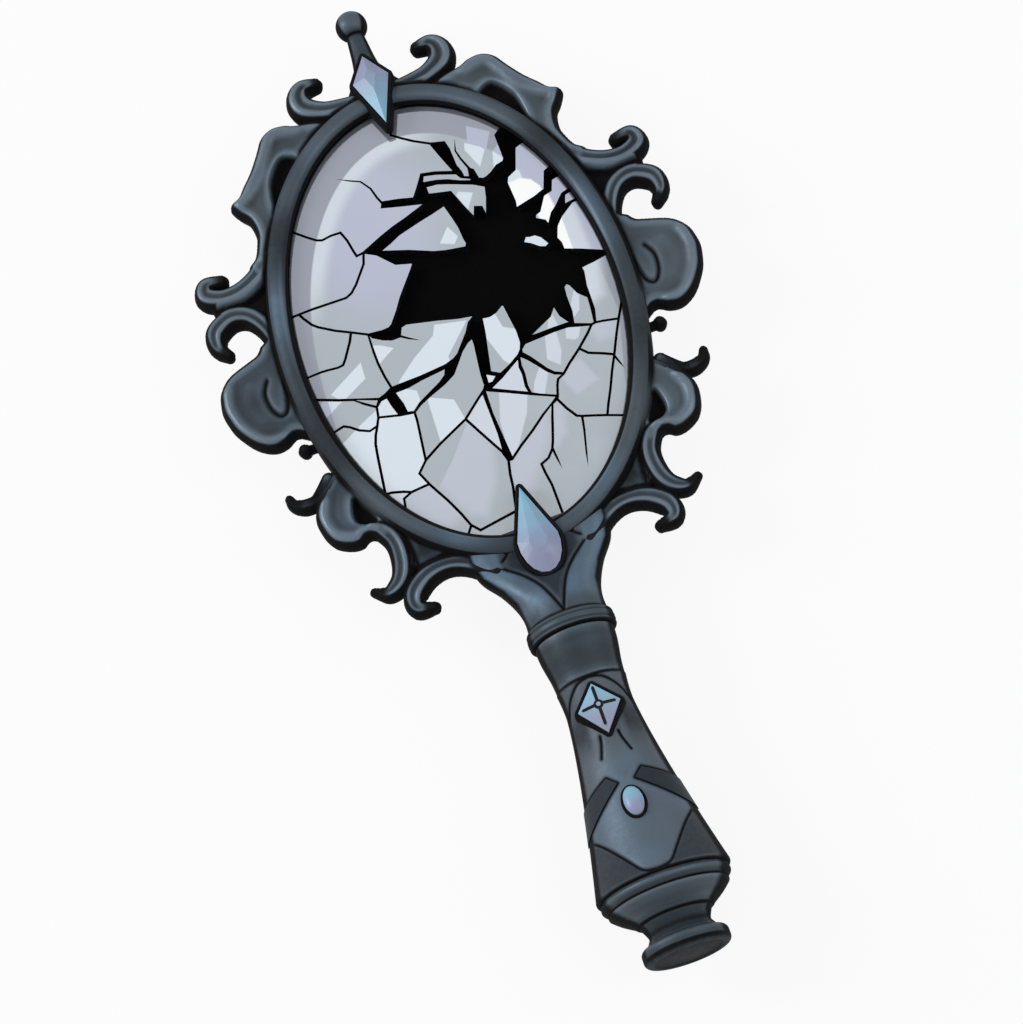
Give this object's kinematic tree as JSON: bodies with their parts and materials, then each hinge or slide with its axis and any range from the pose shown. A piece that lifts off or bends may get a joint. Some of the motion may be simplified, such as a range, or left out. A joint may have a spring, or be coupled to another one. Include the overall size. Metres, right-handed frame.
{
  "type": "broken hand mirror",
  "caption": "Ornate cast-metal hand mirror with a long oval glass, cracked all over and missing a large piece, on a turned handle.",
  "frame": {"origin": "on the flat outside face of the back cover, under the middle of the oval glass", "axes": "+Z out of the face of the mirror, +Y along the object towards the finial, handle towards -Y, +X to the right seen from the front"},
  "size_m": [0.132, 0.2756, 0.034],
  "materials": {
    "cast_frame": "slate-grey patina over cast metal, darker in the hollows",
    "cover_metal": "dark slate patina",
    "grip_metal": "slate-grey patina with a bluish panel",
    "dark_metal": "dark slate patina",
    "steel": "plain steel",
    "black_board": "thin board painted black",
    "mirror_glass": "silvered glass, cracked",
    "blue_stone": "polished pale blue stone"
  },
  "bodies": {
    "root": {"frame": "cast_frame", "back_cover": "cover_metal", "back_cover_screws": "steel", "collar_ring": "cast_frame", "neck_sleeve": "dark_metal", "grip": "grip_metal", "inlay_left": "dark_metal", "inlay_right": "dark_metal", "end_band": "dark_metal", "grip_foot": "grip_metal", "pommel_neck": "dark_metal", "pommel_cap": "dark_metal", "tang": "steel", "backing_board": "black_board", "crown_gem": "blue_stone", "drop_gem": "blue_stone", "diamond_gem": "blue_stone", "grip_gem": "blue_stone", "shard_upper_left": "mirror_glass", "shard_upper_right": "mirror_glass", "shard_left_high": "mirror_glass", "shard_left_centre": "mirror_glass", "shard_left_rim": "mirror_glass", "shard_left_middle": "mirror_glass", "shard_left_low": "mirror_glass", "sliver_left": "mirror_glass", "shard_left_foot": "mirror_glass", "shard_star_left": "mirror_glass", "shard_star_right": "mirror_glass", "shard_heart": "mirror_glass", "shard_centre_low": "mirror_glass", "shard_left_column": "mirror_glass", "chip_left_rim": "mirror_glass", "shard_low_left": "mirror_glass", "shard_low_centre": "mirror_glass", "shard_foot": "mirror_glass", "wedge_left": "mirror_glass", "wedge_right": "mirror_glass", "chip_centre": "mirror_glass", "shard_tooth": "mirror_glass", "shard_arrow": "mirror_glass", "shard_blade": "mirror_glass", "shard_right_centre": "mirror_glass", "shard_thorn": "mirror_glass", "shard_fang": "mirror_glass", "shard_right_rim": "mirror_glass", "shard_right_low": "mirror_glass", "shard_right_sliver": "mirror_glass", "shard_right_foot": "mirror_glass", "shard_low_middle": "mirror_glass", "shard_low_right": "mirror_glass", "sliver_top": "mirror_glass", "shard_claw": "mirror_glass", "shard_centre_high": "mirror_glass", "shard_right_high": "mirror_glass", "shard_right_tip": "mirror_glass", "chip_right_rim": "mirror_glass", "shard_right_upper_rim": "mirror_glass", "chip_in_hole": "mirror_glass"}
  },
  "joints": []
}
